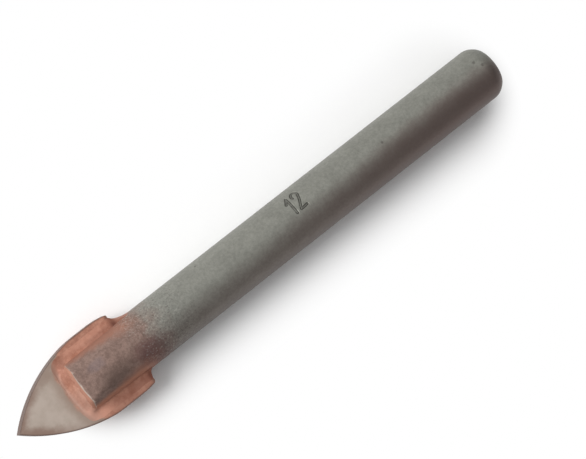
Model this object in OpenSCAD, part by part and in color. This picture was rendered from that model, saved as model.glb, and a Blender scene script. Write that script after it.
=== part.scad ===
// Glass and tile drill bit: a round steel shank whose slotted front end holds a
// spear-shaped carbide plate, brazed in with copper-coloured metal.
// Millimetres. X runs along the bit, point at -X. Z is up; the bit lies on z = 0.

/* [Carbide plate] */
// Cutting diameter
cut_d = 12; // [10:0.5:16]
// Plate thickness
plate_t = 2.2; // [1.8:0.1:3]
// Plate length from the point to its straight rear edge
plate_l = 19.1; // [17:0.1:22]
// Distance from the point to the widest place
belly = 15; // [13:0.5:16.5]
// Relief angle ground on the two flanks, degrees
relief = 3; // [2:0.5:10]
// Corner chamfer at the rear of each wing
wing_chamfer = 0.2; // [0.1:0.1:0.6]

/* [Shank] */
// Length of the whole bit
total_l = 85; // [70:1:110]
// Shank diameter, the size that the chuck grips
shank_d = 8; // [6:0.1:8.6]
// Distance from the point to the front of the cheeks
nose = 9.5; // [9:0.1:12]
// How far the slotted end tapers under the shank radius, an assumed size
end_taper = 0.1; // [0.05:0.01:0.3]
// Radius of the shallow dome turned on the front end
dome_r = 18; // [8:1:30]
// How far the ground flat of each cheek drops at the front
cheek_drop = 1.1; // [0.4:0.1:1.6]
// Length of the ground flat
cheek_run = 5.9; // [4:0.1:8]
// Rear chamfer along the axis
chamfer_l = 1.5; // [0.5:0.1:3]
// Rear chamfer across the radius
chamfer_r = 1.1; // [0.5:0.1:2]

/* [Braze] */
// Thickness of the braze film between the plate and the slot
film = 0.1; // [0.05:0.01:0.2]
// Reach of the fillet over the plate face
fillet_reach = 1.7; // [1:0.1:2.4]
// Height of the fillet on the cheek
fillet_rise = 0.7; // [0.4:0.1:1.6]
// Length of the long fillet behind one wing
web_long = 2.5; // [1:0.1:4]
// Length of the short fillet behind the other wing
web_short = 1; // [0.6:0.1:2]
// Height of the long fillet on its wing, above the shank
web_high = 1.2; // [0.4:0.1:1.4]
// Height of the short fillet on its wing, above the shank
web_low = 0.5; // [0.3:0.1:1.4]

/* [Hidden] */
$fn = 96;
rad = shank_d / 2;
half = cut_d / 2;
face = plate_t / 2;
// One circular arc from the point to the widest place, level with the axis there.
edge_r = (belly * belly + half * half) / (2 * half);
shank_l = total_l - nose;
// The taper starts behind the fillets of the wings; the chuck grips from there to the rear.
tip_rad = rad - end_taper;
taper_l = plate_l + web_long + 0.6 - nose;
slot_h = plate_t + 2 * film;
slot_end = plate_l + film;
flat_deg = atan(cheek_drop / cheek_run);
// Half-width of the slotted end, where it is smallest, at a height above its axis.
function wall(z) = sqrt(tip_rad * tip_rad - z * z);
// Half-width of the plate, in its middle plane and on its relieved face.
function edge_w(x) = half - edge_r + sqrt(edge_r * edge_r - (x - belly) * (x - belly));
function face_w(x) = edge_w(x) / cos(relief) - face * tan(relief);
// The fillet starts just inside the cheek and stays on the plate face.
in_y = wall(face + fillet_rise) - 0.05;
in_x = nose + dome_r - sqrt(dome_r * dome_r - rad * rad) + 0.1;
reach = min(fillet_reach, face_w(in_x) - in_y - 0.1, face_w(plate_l) - in_y - 0.1);
// The fillet behind a wing starts inside the shank and stands a little proud of the plate.
lip = 0.12;
web_in = wall(face + lip) - 0.15;
function web_y(rise) = min(rad + rise, face_w(plate_l) - 0.25);
// Every fillet is drawn sunk into the plate by this much and then cut to it.
foot = 0.2;

// Along the axis: a child drawn upwards is laid along +X.
module along() rotate([0, 90, 0]) children();

// Moves the point of the bit from the origin to its place on the floor.
module place() translate([-total_l / 2, 0, rad]) children();

// Plan of the plate: two equal arcs that cross at the point, cut straight at the rear.
module plan() intersection() {
    translate([belly, half - edge_r]) circle(r = edge_r);
    translate([belly, edge_r - half]) circle(r = edge_r);
    polygon([
        [-1, -2 * cut_d], [plate_l - 2 * cut_d + edge_w(plate_l) - wing_chamfer, -2 * cut_d],
        [plate_l, -edge_w(plate_l) + wing_chamfer], [plate_l, edge_w(plate_l) - wing_chamfer],
        [plate_l - 2 * cut_d + edge_w(plate_l) - wing_chamfer, 2 * cut_d], [-1, 2 * cut_d]]);
}

// The plan is swept along a line leaned by the relief angle, so that each wing leads
// with one sharp edge; the wings are then ground round to the cutting diameter.
module plate_solid() intersection() {
    rotate([relief, 0, 0]) translate([0, 0, -2 * plate_t]) linear_extrude(height = 4 * plate_t) plan();
    translate([-1, -cut_d, -face]) cube([plate_l + 2, 2 * cut_d, plate_t]);
    translate([-2, 0, 0]) along() cylinder(r = half, h = plate_l + 4);
}

// Half section of the shank before slotting: dome and taper in front, chamfer at the rear.
module shank_profile() intersection() {
    polygon([
        [0, 0], [tip_rad, 0], [rad, taper_l], [rad, shank_l - chamfer_l],
        [rad - chamfer_r, shank_l], [0, shank_l]]);
    union() {
        translate([0, dome_r]) circle(r = dome_r);
        translate([-1, dome_r / 2]) square([2 * rad, shank_l]);
    }
}

// The shank before slotting, with the sloping flats ground on both cheeks.
module shank_blank() difference() {
    translate([nose, 0, 0]) along() rotate_extrude() shank_profile();
    for (side = [0, 1]) mirror([0, 0, side])
        translate([nose, -shank_d, rad - cheek_drop]) rotate([0, -flat_deg, 0])
            translate([-shank_d, 0, 0]) cube([shank_d + 2 * cheek_run, 2 * shank_d, shank_d]);
}

module slot_space() translate([nose - 1, -shank_d, -slot_h / 2])
    cube([slot_end - nose + 1, 2 * shank_d, slot_h]);

module shank_solid() difference() {
    shank_blank();
    slot_space();
}

// A hollow-faced corner between two walls: it reaches out along one and up the other,
// its free side is a concave arc, and its foot is sunk into the first wall.
module hollow(out, up, foot) {
    d = [-out, up];
    n = [up, out] / norm(d);
    r = 1.6 * norm(d);
    difference() {
        polygon([[0, -foot], [out, -foot], [out, 0], [0, up]]);
        translate([out, up] / 2 + n * sqrt(r * r - norm(d) * norm(d) / 4)) circle(r = r);
    }
}

module fillet_section() hollow(reach, fillet_rise, foot);

// Fillet around one quarter of the cheek: along its side, round the corner, across its front.
module quarter_fillet() {
    translate([in_x, in_y, face]) rotate([90, 0, 90]) linear_extrude(height = plate_l - in_x) fillet_section();
    translate([in_x, in_y, face]) rotate([0, 0, 90]) rotate_extrude(angle = 90) fillet_section();
    translate([in_x, in_y, face]) rotate([90, 0, 0]) mirror([1, 0, 0])
        linear_extrude(height = in_y) fillet_section();
}

// Fillet between the rear edge of a wing and the side of the shank.
module web(len, rise) translate([plate_l, web_in, -face - lip]) linear_extrude(height = plate_t + 2 * lip)
    mirror([1, -1, 0]) hollow(web_y(rise) - web_in, len, foot);

module braze_solid() difference() {
    union() {
        intersection() {
            slot_space();
            shank_blank();
        }
        for (side = [0, 1], half_turn = [0, 1])
            mirror([0, 0, half_turn]) mirror([0, side, 0]) quarter_fillet();
        web(web_long, web_high);
        mirror([0, 1, 0]) web(web_short, web_low);
    }
    shank_solid();
    plate_solid();
}

module shank() color([0.42, 0.42, 0.40]) place() shank_solid();

module carbide_tip() color([0.55, 0.51, 0.47]) place() plate_solid();

module braze() color([0.66, 0.42, 0.33]) place() braze_solid();

shank();
carbide_tip();
braze();
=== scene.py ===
# %% [markdown]
# # A glass and tile drill bit
#
# Three real pieces make this bit: a round steel shank with a slotted front end, a carbide plate ground
# to a spear point, and the copper-coloured braze that holds the plate in the slot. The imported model
# gives the frame and the sizes. Each piece is drawn again here as numpy surfaces, finer than the
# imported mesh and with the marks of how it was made: a stamped size, rounded edges, uneven braze.
#
# Sizes are in millimetres until a mesh is written. `s` is the distance from the point along the bit,
# and heights are measured from the axis of the shank.

import math

import bmesh
import bpy
import numpy as np
from mathutils import Matrix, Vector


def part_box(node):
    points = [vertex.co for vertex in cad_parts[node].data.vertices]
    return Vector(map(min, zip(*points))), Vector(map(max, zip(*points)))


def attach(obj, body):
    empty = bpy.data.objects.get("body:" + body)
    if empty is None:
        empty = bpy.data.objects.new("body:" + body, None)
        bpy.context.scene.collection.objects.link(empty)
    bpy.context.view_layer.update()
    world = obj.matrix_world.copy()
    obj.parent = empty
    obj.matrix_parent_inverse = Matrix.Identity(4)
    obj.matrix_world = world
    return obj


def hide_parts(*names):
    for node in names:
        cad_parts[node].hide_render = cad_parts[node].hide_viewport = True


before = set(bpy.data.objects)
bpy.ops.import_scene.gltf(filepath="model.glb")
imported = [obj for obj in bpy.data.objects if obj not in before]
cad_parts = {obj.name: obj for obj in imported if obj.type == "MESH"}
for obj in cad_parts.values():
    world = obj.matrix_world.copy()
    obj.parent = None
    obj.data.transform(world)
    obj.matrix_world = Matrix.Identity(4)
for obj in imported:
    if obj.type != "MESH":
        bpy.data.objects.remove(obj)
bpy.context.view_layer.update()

# %% [markdown]
# ## Sizes
#
# The shank radius, the cutting radius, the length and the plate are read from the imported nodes, so the
# drawn pieces can't drift away from them. What a box can't tell, such as the radius of the dome, is
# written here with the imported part's value.

# %% Sizes
lo, hi = (1000 * np.array(c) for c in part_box("shank"))
tip_lo, tip_hi = (1000 * np.array(c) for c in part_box("carbide_tip"))
RAD = (hi[2] - lo[2]) / 2
HALF = tip_hi[1]
LENGTH = hi[0] - tip_lo[0]
PLATE_L = tip_hi[0] - tip_lo[0]
FACE = (tip_hi[2] - tip_lo[2]) / 2
# from the point to the widest place, and the radius of the arc that joins them
BELLY = 15.0
EDGE_R = (BELLY**2 + HALF**2) / (2 * HALF)
RELIEF = math.radians(3)
# front of the cheeks, its dome, and the taper of the slotted end
NOSE = 9.5
DOME_R = 18.0
TIP_RAD = RAD - 0.1
TAPER_END = 22.2
# the ground flat: how far it drops at the front, and its length
DROP = 1.1
RUN = 5.9
# the slot is wider and longer than the plate by the braze film
FILM = 0.1
SLOT = FACE + FILM
SLOT_END = PLATE_L + FILM
CHAMFER_L = 1.5
CHAMFER_R = 1.1
print("shank radius", RAD, "length", LENGTH, "plate", PLATE_L, "x", 2 * HALF, "x", 2 * FACE)

# %% [markdown]
# ## From arrays to meshes
#
# Every surface is an array of points on a grid of two parameters. `quads` numbers the corners of the
# grid's cells with whole-array sums, and `piece` welds the grids that share a border into one closed
# mesh. Points come in as (s, y, height) and go out in metres in the part's own frame. Arrays are used
# in place of modifiers because every border then lies exactly where its neighbour's does.

# %% Cells of a grid


def quads(rows, cols, wrap):
    """Corners (i, j), (i, j+1), (i+1, j+1), (i+1, j) of each cell, point (i, j) being number i cols + j.

    With wrap the last column is joined to the first: j+1 is taken modulo cols.
    """
    i = np.arange(rows - 1)[:, None]
    j = np.arange(cols if wrap else cols - 1)[None, :]
    k = (j + 1) % cols
    return np.stack([i * cols + j, i * cols + k, (i + 1) * cols + k, (i + 1) * cols + j], -1).reshape(-1, 4)


print("a 3 x 4 grid has", len(quads(3, 4, False)), "cells, or", len(quads(3, 4, True)), "when wrapped")

# %% One welded piece
WELD = 2e-6


def piece(name, node, grids, sharp_deg=40):
    """One welded mesh from grids of (points, wrap, marks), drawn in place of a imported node.

    Points move by (-LENGTH/2, 0, RAD) into the part's frame and are divided by 1000 into metres.
    """
    points, faces, values, start = [], [], [], 0
    for grid, wrap, value in grids:
        rows, cols, _ = grid.shape
        points.append(grid.reshape(-1, 3))
        values.append(np.broadcast_to(value, (rows, cols)).reshape(-1))
        faces.append(quads(rows, cols, wrap) + start)
        start += rows * cols
    points = np.concatenate(points) + [-LENGTH / 2, 0, RAD]
    faces = np.concatenate(faces)
    mesh = bpy.data.meshes.new(name)
    mesh.vertices.add(len(points))
    mesh.vertices.foreach_set("co", (points / 1000).astype(np.float32).ravel())
    mesh.loops.add(faces.size)
    mesh.loops.foreach_set("vertex_index", faces.astype(np.int32).ravel())
    mesh.polygons.add(len(faces))
    mesh.polygons.foreach_set("loop_start", np.arange(0, faces.size, 4, dtype=np.int32))
    mesh.update(calc_edges=True)
    marks = mesh.attributes.new("mark", "FLOAT", "POINT")
    marks.data.foreach_set("value", np.concatenate(values).astype(np.float32))
    work = bmesh.new()
    work.from_mesh(mesh)
    bmesh.ops.remove_doubles(work, verts=work.verts, dist=WELD)
    bmesh.ops.dissolve_degenerate(work, edges=work.edges, dist=1e-7)
    bmesh.ops.recalc_face_normals(work, faces=work.faces)
    work.to_mesh(mesh)
    work.free()
    mesh.shade_smooth()
    mesh.set_sharp_from_angle(angle=math.radians(sharp_deg))
    obj = bpy.data.objects.new(name, mesh)
    bpy.context.scene.collection.objects.link(obj)
    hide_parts(node)
    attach(obj, "root")
    print(name, len(mesh.polygons), "faces")
    return obj


# %% [markdown]
# ## The stamped size
#
# The size in millimetres is stamped near the middle of the shank, in outline: a groove runs round each
# stroke. A text object could be cut in, but the mark is made as a distance field: a stroke is a chain of
# short segments, and the depth at a point depends on the distance to the nearest one. Drawn this way the
# digits need no font and bend with the bar. `a` runs along the bit and `b` around it, in millimetres.

# %% Stamped size
STROKE = 0.13
GROOVE = 0.08
turn = np.radians(np.linspace(205, -32, 26))
one = np.array([[5.45, 2.45], [5.75, 2.85], [6.04, 3.36], [6.00, 2.4], [5.96, 1.5], [5.93, 0.58]])
two = np.concatenate(
    [
        np.stack([7.27 + 0.50 * np.cos(turn), 2.96 + 0.56 * np.sin(turn)], -1),
        [[7.45, 2.0], [7.05, 1.3], [6.74, 0.70], [7.3, 0.70], [7.80, 0.76]],
    ]
)


def stroke_distance(a, b, chain):
    """Distance from each point (a, b) to a chain of segments: |p - (e + t (f - e))|, t held to 0..1."""
    p = np.stack([a, b], -1)[..., None, :]
    e, f = chain[:-1], chain[1:]
    t = np.clip(((p - e) * (f - e)).sum(-1) / ((f - e) ** 2).sum(-1), 0, 1)
    return np.linalg.norm(p - (e + t[..., None] * (f - e)), axis=-1).min(-1)


def stamp(s, angle):
    """Depth 0..1 from the distance d to a stroke: 1.25 - |d - STROKE| / GROOVE, and at least 0.5 inside.

    Only points near the digits are measured; elsewhere the depth is 0.
    """
    a, b = s - LENGTH / 2, RAD * angle
    near = (np.abs(a - 6.6) < 2) & (np.abs(b - 2) < 2.2)
    out = np.zeros(np.broadcast(a, b).shape)
    d = np.minimum(stroke_distance(a[near], b[near], one), stroke_distance(a[near], b[near], two))
    groove = np.clip(1.25 - np.abs(d - STROKE) / GROOVE, 0, 1)
    out[near] = np.maximum(groove, 0.5 * (d < STROKE))
    return out


print("stamp: digits of", len(one) - 1, "and", len(two) - 1, "segments")


# %% [markdown]
# ## The shank
#
# The bar is a radius over (s, angle). Behind the slot the cross-section is a circle, so rows of points
# run round the bar and the stamp lowers the radius. In front each cheek is the part of the circle above
# the slot: its rows run only from one slot wall to the other, over the top, and the sloping ground flat
# takes the radius down. The front edge is softened, and the dome of the front face is followed to the
# slot wall. Angles count from straight up, towards +Y. The grid has many rows and columns under the
# stamp and few elsewhere, which costs less than subdividing the whole bar.

# %% Radius of the bar
FLAT_SOFT = 0.16
edge_angle = math.acos(SLOT / (TIP_RAD + (RAD - TIP_RAD) * (SLOT_END - NOSE) / (TAPER_END - NOSE)))


def bar(s):
    """Radius of the bar: TIP_RAD at the nose, growing evenly to RAD at TAPER_END."""
    return TIP_RAD + (RAD - TIP_RAD) * np.clip((s - NOSE) / (TAPER_END - NOSE), 0, 1)


def cheek(s, angle):
    """Radius under the ground flat: a soft minimum of the bar and h / cos(angle), h rising with s."""
    flat = (RAD - DROP + (s - NOSE) * DROP / RUN) / np.cos(angle)
    gap = bar(s) - flat
    return bar(s) - 0.5 * (gap + np.sqrt(gap**2 + FLAT_SOFT**2))


def dome(r):
    """Distance s of the domed front face at radius r: NOSE + D - sqrt(D^2 - r^2)."""
    return NOSE + DOME_R - np.sqrt(DOME_R**2 - r**2)


def polar(s, r, angle):
    """Points at distance s and radius r: y is r sin(angle) and the height is r cos(angle)."""
    return np.stack(np.broadcast_arrays(s, r * np.sin(angle), r * np.cos(angle)), -1)


print("slot wall meets the bar at", math.degrees(edge_angle), "degrees")

# %% Bar
STAMP_DEPTH = 0.11
REAR_SOFT = 0.8
# angles over the top from wall to wall as fractions of the wall angle, fine under the stamp
fine = np.linspace(math.radians(2), math.radians(56), 80) / edge_angle
over = np.concatenate([np.linspace(-1, fine[0], 26)[:-1], fine, np.linspace(fine[-1], 1, 9)[1:]])
side = np.linspace(edge_angle, math.pi - edge_angle, 15)[1:-1]
around = np.concatenate([over * edge_angle, side, math.pi + over * edge_angle, math.pi + side])
mark_s = LENGTH / 2 + np.linspace(4.9, 8.3, 72)
run = np.concatenate(
    [
        np.linspace(SLOT_END, TAPER_END, 12),
        np.linspace(TAPER_END, mark_s[0], 40)[1:-1],
        mark_s,
        np.linspace(mark_s[-1], LENGTH - CHAMFER_L - REAR_SOFT, 52)[1:],
    ]
)
s_grid, angle_grid = np.meshgrid(run, around, indexing="ij")
mark = stamp(s_grid, np.where(angle_grid > math.pi, angle_grid - 2 * math.pi, angle_grid))
body = polar(s_grid, bar(s_grid) - STAMP_DEPTH * mark, angle_grid)
print("bar", body.shape[:2], "points, deepest mark", STAMP_DEPTH * mark.max(), "mm")

# %% Rear end
END_SOFT = 0.85


def bend(a, c, b, n):
    """Points of the curve (1-q)^2 a + 2q(1-q) c + q^2 b for n values of q; arrays of ends are allowed."""
    q = np.linspace(0, 1, n).reshape((n,) + (1,) * np.ndim(a))
    return (1 - q) ** 2 * np.asarray(a) + 2 * q * (1 - q) * np.asarray(c) + q**2 * np.asarray(b)


# two soft corners join the bar, the chamfer and the flat end
end = np.array([LENGTH, RAD - CHAMFER_R])
start = np.array([LENGTH - CHAMFER_L, RAD])
slope = (end - start) / np.linalg.norm(end - start)
profile = np.concatenate(
    [
        bend(start - [REAR_SOFT, 0], start, start + REAR_SOFT * slope, 13),
        bend(end - END_SOFT * slope, end, end - [0, END_SOFT], 13),
        np.stack([np.full(6, LENGTH), np.linspace(RAD - CHAMFER_R - END_SOFT, 0, 6)], -1)[1:],
    ]
)
tail = polar(profile[:, :1], profile[:, 1:], around[None, :])
grids = [(body, True, mark), (tail, True, 0)]
print("rear end", tail.shape[:2], "points")

# %% Cheeks and slot
# marks on the cheeks, below those of the stamp: the worn line and the front face
WORN, FRONT = -1, -2
# how far the front edge is softened back along the flat and down the face
EDGE_SOFT = 0.7
FACE_SOFT = 0.45
for half_turn in (0, math.pi):
    front_angle = over * edge_angle
    s_edge = np.full_like(front_angle, NOSE + 1)
    # the edge where the flat meets the dome: each pass moves it to the dome at the flat's radius
    for _ in range(30):
        s_edge = dome(cheek(s_edge, front_angle))
    back = np.linspace(0, 1, 26)[:, None]
    s_out = SLOT_END + (s_edge + EDGE_SOFT - SLOT_END) * back
    r_out = cheek(s_out, front_angle)
    # blend to the bare bar at the slot's end, so that both grids share that row
    r_out = r_out + (bar(SLOT_END) - r_out[:1]) * (1 - back) ** 8
    corner = np.stack([s_edge, cheek(s_edge, front_angle)], -1)
    wall = SLOT / np.cos(front_angle)
    r_face = np.maximum(corner[:, 1] - FACE_SOFT, wall)
    soft = bend(
        np.stack([s_out[-1], r_out[-1]], -1), corner, np.stack([dome(r_face), r_face], -1), 6
    )
    down = r_face + (wall - r_face) * np.linspace(0, 1, 7)[1:, None]
    s_all = np.concatenate([s_out, soft[1:, :, 0], dome(down)])
    r_all = np.concatenate([r_out, soft[1:, :, 1], down])
    surface = polar(s_all, r_all, front_angle + half_turn)
    surface[:, [0, -1], 2] = SLOT * math.cos(half_turn)
    # the slot wall has the cheek's rows, so that the two share their side borders
    share = (s_all[:, 0] - SLOT_END) / (s_all[-1, 0] - SLOT_END)
    wall_end = np.stack([np.full_like(over, SLOT_END), surface[0, :, 1], surface[-1, :, 2]], -1)
    slot_wall = wall_end + (surface[-1] - wall_end) * share[:, None, None]
    slot_wall[:, [0, -1]] = surface[:, [0, -1]]
    place = np.zeros(s_all.shape)
    place[len(s_out)] = WORN
    place[len(s_out) + 1 :] = FRONT
    grids += [(surface, False, place), (slot_wall, False, 0)]
levels = bar(SLOT_END) * np.cos(np.linspace(edge_angle, math.pi - edge_angle, 15))[:, None]
across = np.sin(over * edge_angle) / math.sin(edge_angle)
# the lower cheek is the upper one turned half round, so its columns run the other way
across = across + (-across[::-1] - across) * np.linspace(0, 1, 15)[:, None]
floor_of_slot = np.stack(
    np.broadcast_arrays(SLOT_END, across * np.sqrt(bar(SLOT_END) ** 2 - levels**2), levels), -1
)
grids.append((floor_of_slot, False, 0))
shank = piece("shank_drawn", "shank", grids)

# %% [markdown]
# ## The carbide plate
#
# In plan each cutting edge is one circular arc that leaves the point and runs level with the axis at
# the widest place. The arcs are swept along a line leaned by the relief angle, so every section is a
# parallelogram that leads with one sharp corner on each wing, and the point becomes a short chisel
# edge. The wings are ground round at the cutting radius. One loop of points per section is enough, and
# an extruded outline would lose the relief.

# %% Carbide plate
# radius of the rear corner of the +Y wing and of the -Y wing
CORNER_LEFT, CORNER_RIGHT = 0.12, 0.34
# points across each face and down each flank
ACROSS, FLANK = 33, 7


def half_width(s, round_r):
    """Half-width in the middle plane: HALF - R + sqrt(R^2 - (s - BELLY)^2), rounded off at the rear."""
    past = np.clip(s - (PLATE_L - round_r), 0, round_r)
    return HALF - EDGE_R + np.sqrt(EDGE_R**2 - (s - BELLY) ** 2) - (round_r - np.sqrt(round_r**2 - past**2))


# stations along the plate, closest at the point and again at the rear corners
ahead = PLATE_L * np.linspace(0, 1, 90)[:-14] ** 1.25
closing = np.sin(np.linspace(0.06, 1, 24) * math.pi / 2)
stations = np.concatenate([ahead, ahead[-1] + (PLATE_L - ahead[-1]) * closing])
# each section runs over the top face, down one flank, back below and up the other flank
flat_k = np.linspace(-1, 1, ACROSS)
flank_k = np.linspace(1, -1, FLANK + 2)[1:-1]
ky = np.concatenate([flat_k, np.ones(FLANK), flat_k[::-1], -np.ones(FLANK)])
kz = np.concatenate([np.ones(ACROSS), flank_k, -np.ones(ACROSS), flank_k[::-1]]) * FACE
left, right = half_width(stations, CORNER_LEFT), half_width(stations, CORNER_RIGHT)
wide = np.where(ky > 0, left[:, None], right[:, None])
y = ky * wide / math.cos(RELIEF) - kz * math.tan(RELIEF)
limit = np.sqrt(HALF**2 - kz**2)
y = np.clip(y, -limit, limit)
plate = np.stack(np.broadcast_arrays(stations[:, None], y, kz), -1)
top_row = plate[-1, :ACROSS]
bottom_row = plate[-1, ACROSS + FLANK : 2 * ACROSS + FLANK][::-1]
cap = top_row + (bottom_row - top_row) * np.linspace(0, 1, FLANK + 2)[:, None, None]
carbide = piece("carbide_drawn", "carbide_tip", [(plate, True, 0), (cap, False, 0)], 30)

# %% [markdown]
# ## The path of the braze
#
# Molten braze runs round the foot of each cheek. A bevelled curve or a sculpted surface could stand for
# it, but a section carried along a path keeps both of its borders in hand. In plan the path follows the
# front of the cheek, turns its corner on an arc and runs back along the side. `heading` is the way that
# the braze flows out at each step, and `climb` is 1 on the front and 0 on the sides.

# %% Path round a cheek
CORNER = 0.8


def soft_step(x, low, high):
    """0 below low, 1 above high, and 3k^2 - 2k^3 between, k being the share of the way."""
    k = np.clip((x - low) / (high - low), 0, 1)
    return k * k * (3 - 2 * k)


def both_ways(half, sign):
    """The half path backwards, times sign, and then forwards from its first point."""
    return np.concatenate([sign * half[:0:-1], half])


foot_y = math.sqrt(TIP_RAD**2 - FACE**2)
s_corner = dome(TIP_RAD)
# the arc starts where the dome leans by an angle whose 1 - sine is about 0.84
turn_y = foot_y - 0.84 * CORNER
turn_s = dome(math.hypot(turn_y, FACE))
lean = math.atan2(turn_y, DOME_R)
arc = np.linspace(lean, math.pi / 2, 40)[1:-1]
half_y = np.linspace(0, turn_y, 40)
side_s = np.linspace(turn_s + CORNER * math.cos(lean), PLATE_L, 56)
arc_y = turn_y + CORNER * (np.sin(arc) - math.sin(lean))
arc_s = turn_s + CORNER * (math.cos(lean) - np.cos(arc))
half_foot = np.concatenate([half_y, arc_y, np.full(len(side_s), foot_y)])
half_s = np.concatenate([dome(np.hypot(half_y, FACE)), arc_s, side_s])
half_heading = np.concatenate([np.arctan2(half_y, DOME_R), arc, np.full(len(side_s), math.pi / 2)])
half_dist = np.concatenate([[0], np.cumsum(np.hypot(np.diff(half_foot), np.diff(half_s)))])
foot = both_ways(half_foot, -1)
foot_s = both_ways(half_s, 1)
heading = both_ways(half_heading, -1)
climb = 1 - soft_step(both_ways(half_dist, 1), foot_y - 1.9, foot_y + 0.7)
cornering = np.sin(2 * heading) ** 2
rear = np.clip((foot_s - s_corner) / (PLATE_L - s_corner), 0, 1)
r_foot = np.minimum(np.hypot(foot, FACE), TIP_RAD)
t = np.linspace(0, 1, len(foot))
print("path round a cheek:", len(foot), "steps,", 2 * half_dist[-1], "mm")

# %% [markdown]
# ## Fillets round the cheeks
#
# At each step a cubic curve leaves the cheek at `a`, turns near its foot at `c` and `d`, and ends at the
# rim `b`, flat on the plate. The braze climbs highest on the front, higher towards the rear than in the
# middle of the sides, and runs out less far in front. Noise in the rise and the reach makes the borders
# wander as real ones do. Each section is closed behind its curve, so the drawn braze is a solid body.

# %% Fillets round the cheeks
RISE, RISE_REAR, RISE_FRONT, RISE_NOISE = 0.42, 0.40, 1.25, 0.08
REACH, REACH_FRONT, REACH_CORNER, REACH_NOISE = 1.36, -0.24, 0.2, 0.07
# the top is sunk into the cheek's front, and the rim lies just above the plate
SUNK = 0.12
RIM = 0.004


def bend_twice(a, c, d, b, n):
    """Points of the curve (1-q)^3 a + 3q(1-q)^2 c + 3q^2(1-q) d + q^3 b for n values of q."""
    q = np.linspace(0, 1, n).reshape((n,) + (1,) * np.ndim(a))
    return (1 - q) ** 3 * a + 3 * q * (1 - q) ** 2 * c + 3 * q**2 * (1 - q) * d + q**3 * b


def ripple(t, count, seed):
    """Noise between -1 and 1 along t in 0..1: straight lines between count + 3 random knots."""
    local = np.random.default_rng(seed)
    knots = local.uniform(-1, 1, count + 3)
    return np.interp(t, np.linspace(0, 1, count + 3), knots)


def closed_body(curve, corner, mark=0):
    """A curve carried along a path, each section closed at its corner and each end by a fan from there."""
    loops = np.concatenate([curve, corner[None]]).swapaxes(0, 1)
    ends = [np.stack([loops[i], np.broadcast_to(corner[i], loops[i].shape)]) for i in (0, -1)]
    marks = np.append(np.broadcast_to(mark, len(curve)), 0)
    return [(grid, True, marks) for grid in [loops] + ends]


flow = np.stack([-np.cos(heading), np.sin(heading)], -1)
low = np.stack([foot_s, foot], -1)
share = climb[:, None]
grids = []
for half_turn, seed in ((1, 3), (-1, 7)):
    rise = RISE + RISE_REAR * rear + RISE_NOISE * ripple(t, 40, seed) + RISE_FRONT * climb
    reach = REACH + REACH_NOISE * ripple(t, 26, seed + 1) + REACH_FRONT * climb + REACH_CORNER * cornering
    height = FACE + rise
    up_y = foot * np.sqrt(TIP_RAD**2 - height**2) / foot_y
    up_s = foot_s + dome(np.minimum(np.hypot(up_y, height), TIP_RAD)) - dome(r_foot)
    a = np.stack([up_s + SUNK * climb, up_y * 0.995, height], -1)
    lift = 0.3 * climb + 0.25 * cornering
    c = np.column_stack([low + flow * lift[:, None], FACE + 0.05 + climb])
    out = flow * reach[:, None]
    d = np.column_stack([low + out * (0.08 + 0.42 * share), np.full_like(t, FACE + 3 * RIM)])
    b = np.column_stack([low + out, np.full_like(t, FACE + RIM)])
    inner = np.column_stack([low - flow * 0.06, np.full_like(t, FACE + RIM / 2)])
    flip = [1, 1, half_turn]
    hollow = bend_twice(a, c, d, b, 19)
    grids += closed_body(hollow * flip, inner * flip, np.linspace(0, 1, 19))
print("fillets rise to", height.max(), "mm above the axis")

# %% [markdown]
# ## Fillets behind the wings, and the film
#
# Braze also fills the corner between the rear of each wing and the shank: a hollow curve, carried
# through the thickness of the plate. More of it ran to one side than to the other. Inside the slot it is
# a film that is seen only as a line, so two thin slabs are enough.

# %% Fillets behind the wings, and the film
# side, length along the shank and height above it
WEBS = ((1, 3.3, 1.3), (-1, 1.1, 1.25))
PROUD = 0.1
for way, length, rise in WEBS:
    k = np.linspace(-1, 1, 17)
    z = k * (FACE + PROUD)
    on_bar = np.sqrt(bar(PLATE_L + length / 2) ** 2 - z**2)
    a = np.stack([np.full_like(k, PLATE_L - 0.02), RAD + rise - 0.2 * k**4, z], -1)
    c = np.stack([np.full_like(k, PLATE_L + 0.22 * length), on_bar + 0.16, z], -1)
    b = np.stack([PLATE_L + length * (1 - 0.25 * k**2), on_bar - 0.02, z], -1)
    inner = np.stack([np.full_like(k, PLATE_L - 0.02), on_bar - 0.05, z], -1)
    flip = [1, way, 1]
    grids += closed_body(bend(a, c, b, 17) * flip, inner * flip)

film_s = np.array([s_corner, PLATE_L])
film_y = foot_y - 0.05
FILM_GAP = 0.003
for way in (1, -1):
    under, over_film = way * (FACE + FILM_GAP), way * (SLOT - FILM_GAP)
    corners = [(-film_y, under), (-film_y, over_film), (film_y, over_film), (film_y, under)]
    film = np.stack([np.stack([film_s, np.full(2, y), np.full(2, z)], -1) for y, z in corners])
    grids += closed_body(film[:3], film[3])
braze = piece("braze_drawn", "braze", grids, 50)

# %% [markdown]
# ## Shader arithmetic
#
# A shader is a formula over a point of the surface. Nodes can be placed by hand, but a long formula is
# easier to read as text: `Value` wraps an output socket, and its operators add the maths node for each
# sum or product, so a colour can be written as an expression.

# %% Display colours


def linear(r, g, b):
    """Display colour 0..255 to scene-linear: ((c + 0.055) / 1.055)^2.4, or c / 12.92 near black."""
    c = np.array([r, g, b]) / 255
    return tuple(np.where(c <= 0.04045, c / 12.92, ((c + 0.055) / 1.055) ** 2.4)) + (1.0,)


print("display grey 128 is", linear(128, 128, 128)[0], "in scene-linear light")

# %% Shader arithmetic


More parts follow.
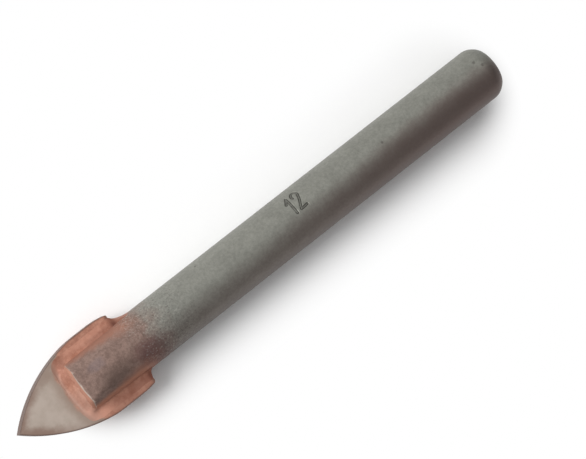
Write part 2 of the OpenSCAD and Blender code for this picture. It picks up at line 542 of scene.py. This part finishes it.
class Value:
    """An output socket whose operators add maths nodes to its tree; without one, the start of a formula."""

    def __init__(self, tree, socket=None):
        self.tree = tree
        self.socket = socket

    def node(self, kind, out, inputs, **settings):
        """Any node: inputs by name or number are values or linked sockets, settings are its properties."""
        made = self.tree.nodes.new(kind)
        for key, value in settings.items():
            setattr(made, key, value)
        for key, value in inputs.items():
            if isinstance(value, Value):
                self.tree.links.new(value.socket, made.inputs[key])
            else:
                made.inputs[key].default_value = value
        return Value(self.tree, made.outputs[out])

    def math(self, operation, *others):
        """A maths node over this value and the others, in that order."""
        return self.node("ShaderNodeMath", 0, dict(enumerate((self,) + others)), operation=operation)

    # sums, differences, products and quotients, with a value or a number on either side
    def __add__(self, other):
        return self.math("ADD", other)

    def __sub__(self, other):
        return self.math("SUBTRACT", other)

    def __mul__(self, other):
        return self.math("MULTIPLY", other)

    def __truediv__(self, other):
        return self.math("DIVIDE", other)

    def __rsub__(self, other):
        """Other minus this, as this times -1 plus other."""
        return self * -1.0 + other

    def __rtruediv__(self, other):
        """Other over this, as this to the power -1 times other."""
        return self.math("POWER", -1.0) * other

    __radd__ = __add__
    __rmul__ = __mul__

    def step(self, low, high):
        """0 below low, 1 above high, and 3k^2 - 2k^3 between, k being the share of the way."""
        inputs = {0: self, 1: low, 2: high, 3: 0.0, 4: 1.0}
        return self.node("ShaderNodeMapRange", 0, inputs, interpolation_type="SMOOTHSTEP")

    def mix(self, a, b):
        """Colour a where this is 0 and b where it is 1: (1 - k) a + k b, k held to 0..1."""
        return self.node("ShaderNodeMix", 2, {0: self, 6: a, 7: b}, data_type="RGBA", clamp_factor=True)

    def noise(self, scale, detail=3.0, rough=0.55):
        """Noise of the point, about 0.5 on average; scale is in swings per metre."""
        return self.node(
            "ShaderNodeTexNoise", 0, {"Vector": self, "Scale": scale, "Detail": detail, "Roughness": rough}
        )

    def bump(self, strength, distance):
        """A normal leaned as if this value, times distance in metres, were a height."""
        return self.node("ShaderNodeBump", 0, {"Height": self, "Strength": strength, "Distance": distance})


# %% From a formula to a material


def material(name, obj, paint, **constants):
    """A material whose paint(point, s, y, height) returns {socket name: value} for the Principled shader.

    In millimetres s is x + LENGTH/2, and the height is z - RAD.
    """
    made = bpy.data.materials.new(name)
    made.use_nodes = True
    tree = made.node_tree
    shader = next(n for n in tree.nodes if n.type == "BSDF_PRINCIPLED")
    for key, value in constants.items():
        shader.inputs[key.replace("_", " ")].default_value = value
    point = Value(tree).node("ShaderNodeTexCoord", "Object", {})
    x, y, z = (point.node("ShaderNodeSeparateXYZ", i, {0: point}) * 1000.0 for i in range(3))
    for key, value in paint(point, x + LENGTH / 2, y, z - RAD).items():
        tree.links.new(value.socket, shader.inputs[key])
    obj.data.materials.clear()
    obj.data.materials.append(made)
    print(name, len(tree.nodes), "nodes")


# %% [markdown]
# ## Steel
#
# The shank is grit-blasted: matt, grey, with a fine grain. Brazing heated the front end, so the grey
# turns to brown towards the tip, with a purple band on the way and pale specks where scale fell off. The
# braze wetted the foot of the cheeks and their front edge, which handling has worn bright in places.
# Shade is painted as well: the -Y side, a band along the middle and the lower -Y edge of the bar are
# darker, more so towards the rear, and the copper at the foot of the -Y cheek carries painted light. A
# painted texture could hold all this, but noise and distances need no image and stay sharp up close.

# %% Steel
# stains on the cheek: s, y, size, strength and colour
STAINS = [
    (14.6, -1.6, 3.0, 0.5, linear(86, 70, 64)),
    (13.4, 1.1, 1.6, 0.3, linear(124, 114, 120)),
    (20.6, -1.5, 2.8, 0.55, linear(96, 62, 62)),
]
# small pits: place along the bit from its middle, angle from the top in degrees, and width
PITS = [
    (x / 1000, RAD * math.sin(math.radians(a)) / 1000, RAD * (1 + math.cos(math.radians(a))) / 1000, width)
    for x, a, width in ((-9.7, 57, 0.22), (21.7, 15, 0.26), (39.6, 29, 0.34), (40.3, 14, 0.30))
]


def steel(point, s, y, z):
    """Layers of paint, each mixed over the last by a share between 0 and 1.

    The share is a step of a place, such as s or y, or of a distance, with noise added to fray its border.
    The marks of the mesh give the stamp (above 0), the worn line and the front face (below 0).
    """
    grain = point.noise(5200.0, 2.0)
    cloud = point.noise(420.0, 3.0)
    edge = (cloud - 0.5) * 6.0
    heat = 1.0 - (s + edge).step(19.5, 26.0)
    tone = (cloud * 0.3 + grain * 0.2 + point.noise(2200.0, 3.0, 0.7) * 0.5).step(0.3, 0.7)
    base = tone.mix(linear(124, 124, 117), linear(148, 148, 140))
    rearward = s.step(30.0, 80.0)
    # painted shade: the -Y side, away from the light, is painted darker and browner, more so towards the
    # rear
    under = (1.0 - (y + edge * 0.2 - rearward * 1.5).step(-2.6, 0.6)) * (rearward * 0.38 + 0.42)
    base = under.mix(base, linear(112, 92, 88))
    # painted shade: a darker band along the middle of the bar, growing towards the rear
    painted_shade_rear_middle = rearward * y.step(-3.2, -1.0) * (1.0 - y.step(-0.6, 1.2)) * 0.35
    base = painted_shade_rear_middle.mix(base, linear(78, 72, 68))
    # painted shade along the lower -Y edge of the bar
    base = ((1.0 - y.step(-4.0, -2.8)) * 0.45).mix(base, linear(88, 78, 74))
    patch = point.noise(900.0, 3.0) * 0.35 + point.noise(2400.0, 3.0, 0.7) * 0.4 + grain * 0.25
    brown = patch.step(0.36, 0.64).mix(linear(114, 93, 85), linear(143, 119, 109))
    colour = heat.mix(base, brown)
    for s0, y0, reach, share, tint in STAINS:
        along = (s - s0) / reach
        across_stain = (y - y0) / (reach * 0.55)
        far = along * along + across_stain * across_stain + (point.noise(1500.0, 4.0, 0.7) - 0.5) * 2.4
        colour = ((1.0 - far.step(-0.2, 1.4)) * share).mix(colour, tint)
    height = z.math("ABSOLUTE") + (point.noise(1200.0, 3.0) - 0.5) * 1.2 - (s - 11.0) * 0.13
    wet = (1.0 - height.step(1.4, 2.6)) * (1.0 - (s + edge * 0.4).step(19.0, 23.0)) * 0.75
    colour = wet.mix(colour, linear(154, 108, 90))
    # copper of the braze at the foot of the -Y cheek side, painted lighter as painted light where that side
    # lies in shade
    painted_light_foot = (1.0 - y.step(-3.6, -2.9)) * s.step(9.4, 10.2) * (1.0 - s.step(19.0, 22.0))
    colour = (painted_light_foot * 0.75).mix(colour, linear(208, 150, 126))
    purple = heat * (s + edge).step(18.0, 21.0) * (1.0 - (y + edge * 0.3).step(-2.0, 0.6))
    colour = (purple * 0.6).mix(colour, linear(98, 70, 70))
    zone = (s + edge).step(18.5, 21.0) * (1.0 - s.step(23.0, 33.0))
    fleck = point.noise(3600.0, 2.0, 0.7)
    colour = (fleck.step(0.54, 0.70) * zone * 0.45).mix(colour, linear(172, 170, 162))
    colour = ((1.0 - fleck.step(0.32, 0.46)) * zone * 0.5).mix(colour, linear(74, 66, 62))
    pressed = point.node("ShaderNodeAttribute", 2, {}, attribute_name="mark")
    colour = (pressed.step(0.0, 1.0) * 0.8).mix(colour, linear(54, 53, 48))
    for x0, y0, z0, width in PITS:
        off = point.node("ShaderNodeVectorMath", 1, {0: point, 1: (x0, y0, z0)}, operation="DISTANCE")
        spot = 1.0 - (off * 1000.0 + (grain - 0.5) * 0.25).step(width * 0.4, width)
        colour = (spot * 0.5).mix(colour, linear(70, 66, 60))
    front_face = (pressed * -1.0).step(1.2, 1.8)
    colour = (front_face * 0.85).mix(colour, linear(172, 122, 102))
    worn = (pressed * -0.75 + (point.noise(1100.0, 3.0) - 0.5) * 2.6).step(0.35, 1.0)
    worn = worn * (pressed * -1.0).step(0.05, 0.3) * (1.0 - front_face) * (1.0 - y.step(0.0, 2.8) * 0.5)
    colour = (worn * 0.7).mix(colour, linear(196, 182, 170))
    return {
        "Base Color": colour,
        "Metallic": 0.5 - heat * 0.3,
        "Roughness": heat * 0.12 + 0.5,
        "Normal": grain.bump(0.35, 0.00004),
    }


material("grit_blasted_steel", shank, steel, Specular_IOR_Level=0.2)

# %% [markdown]
# ## Carbide
#
# Sintered carbide is a pale warm grey. The braze has run as a thin wash over the plate beside and just
# ahead of the cheeks, which is colour and no thickness, so it is paint and not a shape. The flux left a
# brown tint along the edges. Shade is painted as well: the flanks and a thin rim along the cutting edges
# and the rear are dark, and the wash is darker on the outer part of the -Y wing, away from the light.

# %% Carbide


def carbide_paint(point, s, y, z):
    """Layers of paint by distance: inside is the distance to the cutting edge, away that to the cheeks.

    The edge is the plan's arc, HALF - R + sqrt(R^2 - (s - BELLY)^2), and away is sqrt(ahead^2 + beside^2).
    """
    cloud = point.noise(500.0, 4.0)
    base = cloud.step(0.3, 0.7).mix(linear(168, 154, 142), linear(180, 166, 155))
    off = y.math("ABSOLUTE")
    arc = ((s - BELLY) * (s - BELLY) * -1.0 + EDGE_R**2).math("SQRT") + (HALF - EDGE_R)
    inside = arc.math("MINIMUM", math.sqrt(HALF**2 - FACE**2)) - off
    rim = 1.0 - (inside + (cloud - 0.5) * 2.4).step(0.0, 1.8)
    colour = (rim * (0.78 - s.step(2.5, 7.0) * 0.33)).mix(base, linear(124, 95, 82))
    # the wash ends on a rounded front about 1 mm ahead of the cheeks, which start at s = NOSE
    ahead = (11.5 - s).math("MAXIMUM", 0.0)
    beside = (off - 2.0).math("MAXIMUM", 0.0) * (1.0 - s.step(9.5, 12.5) * 0.5)
    away = (ahead * ahead + beside * beside).math("SQRT") + (point.noise(900.0, 3.0) - 0.5) * 0.9
    colour = ((1.0 - away.step(3.0, 5.2)) * 0.7).mix(colour, linear(140, 118, 104))
    copper = (point.noise(520.0, 2.0) * 0.5 + point.noise(1700.0, 3.0, 0.7) * 0.5).step(0.34, 0.66)
    copper = copper.mix(linear(156, 104, 84), linear(188, 137, 116))
    # painted shade: the wash on the outer part of the -Y wing, away from the light, is darker
    copper = ((1.0 - y.step(-5.0, -4.1)) * s.step(11.0, 13.5) * 0.35).mix(copper, linear(110, 68, 55))
    colour = (1.0 - away.step(2.75, 3.5)).mix(colour, copper)
    # painted shade: the flanks and a thin rim along the cutting edges and the rear are painted dark
    flank = 1.0 - z.math("ABSOLUTE").step(FACE - 0.06, FACE - 0.01)
    border = inside.math("MINIMUM", (PLATE_L - s) * 0.35).step(0.0, 0.24)
    edge = (flank + 1.0 - border).math("MINIMUM", 1.0) * 0.75
    colour = edge.mix(colour, linear(84, 64, 56))
    return {"Base Color": colour, "Normal": point.noise(3800.0, 3.0).bump(0.3, 0.00003)}


material("carbide_with_copper_wash", carbide, carbide_paint, Metallic=0.15, Roughness=0.6)

# %% [markdown]
# ## Braze
#
# The same copper colour as the wash, uneven in tone, darker behind the wings and fading into the carbide
# at the front rim. Light and shade are painted too: painted shade on the outer side of the -Y wing and in
# the hollow beside the +Y cheek, painted light on the +Y side and at the -Y front corner. The mark of
# the mesh runs from 0 at the cheek to 1 at the rim, so the fade needs no measuring in the shader.

# %% Braze colour


def braze_paint(point, s, y, z):
    """Two copper tones mixed by noise, then darker and brighter layers by steps of s, y and the mark."""
    tone = point.noise(520.0, 2.0) * 0.4 + point.noise(1300.0, 3.0) * 0.3
    tone = tone + point.noise(2800.0, 3.0, 0.7) * 0.3
    colour = tone.step(0.34, 0.66).mix(linear(154, 100, 79), linear(187, 135, 114))
    # painted shade on the outer part of the -Y wing, away from the light, and in the hollow beside the +Y
    # cheek
    painted_shade_outer = (1.0 - y.step(-4.5, -3.7)) * (s.step(11.0, 13.5) * 0.38 + s.step(13.0, 19.0) * 0.25)
    shaded = y.step(2.6, 3.2) * (1.0 - y.step(3.9, 4.7)) * s.step(13.0, 15.5) * 0.4
    in_front = (1.0 - s.step(10.2, 11.2)) * y.step(0.6, 2.0) * 0.32
    web_end = y.step(-0.5, 0.5) * s.step(PLATE_L + 0.2, PLATE_L + 1.0)
    behind = s.step(PLATE_L - 0.7, PLATE_L + 0.1) * (1.0 - web_end) * 0.6
    colour = (painted_shade_outer + shaded + in_front + behind).mix(colour, linear(110, 65, 51))
    # painted light: lighter copper on the +Y side, towards the light, and at the -Y front corner, which
    # lies in shade
    painted_light = y.step(4.0, 4.8) * s.step(10.5, 12.0) * (1.0 - s.step(16.0, 19.0)) * 0.35
    painted_light = painted_light + (1.0 - y.step(-3.2, -2.4)) * (1.0 - s.step(10.8, 13.0)) * 0.6
    colour = painted_light.mix(colour, linear(218, 160, 138))
    thin = point.node("ShaderNodeAttribute", 2, {}, attribute_name="mark").step(0.55, 1.0)
    colour = (thin * (1.0 - s.step(8.8, 9.8)) * 0.6).mix(colour, linear(142, 115, 101))
    pale = (1.0 - s.step(9.5, 11.0)) * (1.0 - y.step(-1.0, 1.5)) * 0.35
    colour = pale.mix(colour, linear(186, 152, 138))
    return {"Base Color": colour, "Normal": point.noise(2600.0, 3.0).bump(0.4, 0.00006)}


material("copper_braze", braze, braze_paint, Metallic=0.25, Roughness=0.55)

# %% [markdown]
# ## Floor
#
# The bit lies on white paper that carries its soft shadow. Farther out the paper is shown as plain white
# to the camera and in reflections, so that the shadow ends near the bit; for all other light it stays
# ordinary paper. The distance is measured from a line along the bit. A shadow catcher would need a second
# picture laid behind the first; a plane whose shader is a mix of paper and white does it in one.

# %% Floor
FLOOR_SIZE = 40.0
# the line along the bit, in millimetres, and where the paper starts and ends its change to plain white
LINE_MIDDLE, LINE_HALF = 5.0, 29.0
SHADOW_FROM, SHADOW_TO = 6.0, 13.0
bpy.ops.mesh.primitive_plane_add(size=FLOOR_SIZE, location=(0, 0, -0.00002))
floor = bpy.context.object
floor.name = "floor"
paper = bpy.data.materials.new("paper")
paper.use_nodes = True
paper_tree = paper.node_tree
paper_shader = next(n for n in paper_tree.nodes if n.type == "BSDF_PRINCIPLED")
paper_shader.inputs["Base Color"].default_value = (1, 1, 1, 1)
paper_shader.inputs["Roughness"].default_value = 1.0
paper_shader.inputs["Specular IOR Level"].default_value = 0.0
floor.data.materials.append(paper)
paper_point = Value(paper_tree).node("ShaderNodeTexCoord", "Object", {})
paper_x, paper_y = (paper_point.node("ShaderNodeSeparateXYZ", i, {0: paper_point}) * 1000.0 for i in (0, 1))
beyond = ((paper_x - LINE_MIDDLE).math("ABSOLUTE") - LINE_HALF).math("MAXIMUM", 0.0)
away = (beyond * beyond + paper_y * paper_y).math("SQRT")
seen = away.node("ShaderNodeLightPath", "Is Camera Ray", {})
for name in ("Is Glossy Ray", "Is Transmission Ray"):
    seen = seen.math("MAXIMUM", away.node("ShaderNodeLightPath", name, {}))
white = away.node("ShaderNodeEmission", 0, {"Color": (1, 1, 1, 1), "Strength": 1.0})
plain = Value(paper_tree, paper_shader.outputs[0])
share = seen * away.step(SHADOW_FROM, SHADOW_TO)
blend = away.node("ShaderNodeMixShader", 0, {0: share, 1: plain, 2: white})
surface_out = next(n for n in paper_tree.nodes if n.type == "OUTPUT_MATERIAL")
paper_tree.links.new(blend.socket, surface_out.inputs["Surface"])
print("floor of", FLOOR_SIZE, "m with", len(paper_tree.nodes), "nodes")

# %% [markdown]
# ## Light
#
# A window on the tip's side lights the bit. It is a wide round lamp, near enough to fade a little along
# the bar, and a sky that is brighter on that side fills the shadows. A sun lamp would light both ends
# alike and cast a harder shadow. Together they light a colour about as it is written.

# %% Light
LAMP_AWAY = 0.42
SKY_LOW, SKY_GAIN = 0.18, 0.68
bright_side = (-0.46, 0.68, 0.57)
scene = bpy.context.scene
world = bpy.data.worlds.new("sky")
scene.world = world
world.use_nodes = True
sky = next(n for n in world.node_tree.nodes if n.type == "BACKGROUND")
sky.inputs["Color"].default_value = (1, 1, 1, 1)
ray = Value(world.node_tree).node("ShaderNodeTexCoord", "Generated", {})
facing = ray.node("ShaderNodeVectorMath", 1, {0: ray, 1: bright_side}, operation="DOT_PRODUCT")
glow = facing.step(-0.10, 0.98) * SKY_GAIN + SKY_LOW
world.node_tree.links.new(glow.socket, sky.inputs["Strength"])
lamp = bpy.data.lights.new("window", "AREA")
lamp.shape = "DISK"
lamp.size = 0.26
lamp.energy = 1.30
window = bpy.data.objects.new("window", lamp)
towards = np.array([-0.95, 0.62, 1.0])
towards /= np.linalg.norm(towards)
across_lamp = np.cross([0, 0, 1], towards)
across_lamp /= np.linalg.norm(across_lamp)
above_lamp = np.cross(towards, across_lamp)
turned = Matrix(np.column_stack([across_lamp, above_lamp, towards]).tolist())
window.matrix_world = Matrix.Translation((towards * LAMP_AWAY).tolist()) @ turned.to_4x4()
scene.collection.objects.link(window)
print("lamp of", lamp.energy, "W at", [round(float(v), 3) for v in towards * LAMP_AWAY])

# %% [markdown]
# ## Camera
#
# The camera looks down from the tip's side with a long lens. Its three axes and its place were solved
# from the outline of the bit, so they are written as numbers; aiming it by hand would miss by pixels.

# %% Camera
FRAME_WIDTH = 586
FOCAL = 3144.54
right = np.array([0.7554078, -0.6062955, 0.2485251])
up = np.array([0.5922534, 0.7940343, 0.1369142])
back = np.array([-0.2803479, 0.0437637, 0.9589003])
lens = bpy.data.cameras.new("camera")
lens.sensor_width = 36
lens.lens = lens.sensor_width * FOCAL / FRAME_WIDTH
camera = bpy.data.objects.new("camera", lens)
axes = Matrix(np.column_stack([right, up, back]).tolist())
camera.matrix_world = Matrix.Translation((-0.1160116, 0.0178978, 0.4182092)) @ axes.to_4x4()
scene.collection.objects.link(camera)
scene.camera = camera
scene.view_settings.view_transform = "Standard"
print("camera with a lens of", lens.lens, "mm")
